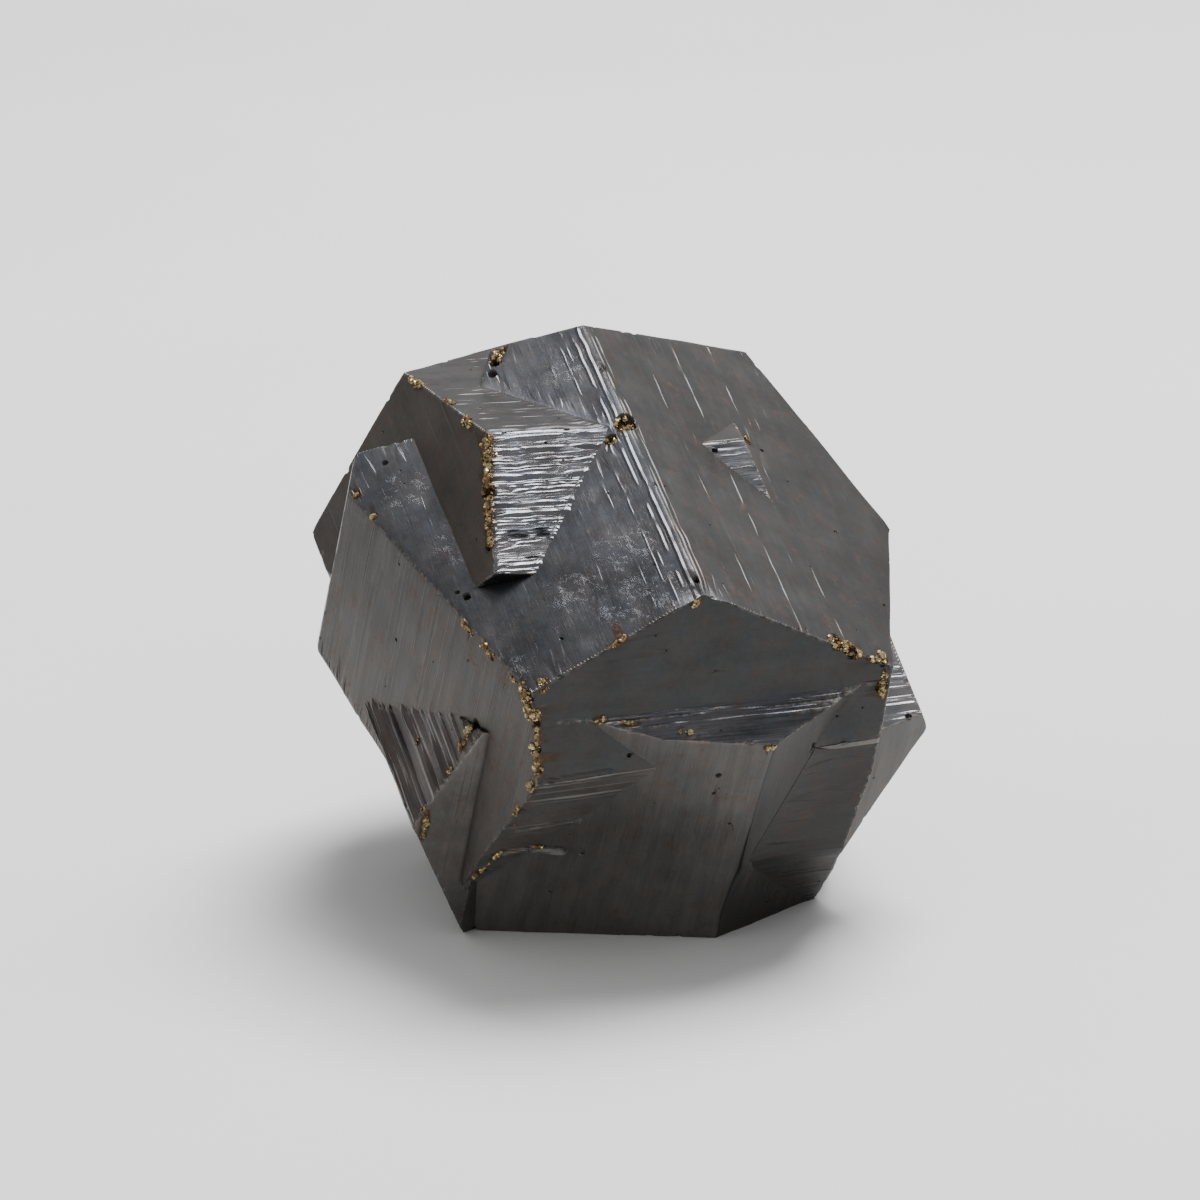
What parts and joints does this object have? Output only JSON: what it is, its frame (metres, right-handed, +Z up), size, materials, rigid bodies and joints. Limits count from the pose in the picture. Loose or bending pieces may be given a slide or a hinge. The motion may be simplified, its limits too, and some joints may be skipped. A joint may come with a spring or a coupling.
{
  "type": "pyrite iron cross twin",
  "caption": "Blocky metallic mineral twin: two pyritohedra grown through each other, with striated faces, step-like notches and a flat face to rest on.",
  "frame": {"origin": "middle of the bounding box in X and Y, on the resting face", "axes": "+Z up, square to the resting face; +X to the right and +Y away, as seen from the front"},
  "size_m": [0.039, 0.041, 0.0365],
  "materials": {
    "pyrite": "semi-gloss metallic mineral, dark grey-brown"
  },
  "bodies": {
    "root": {"twin_crystal": "pyrite"}
  },
  "joints": []
}
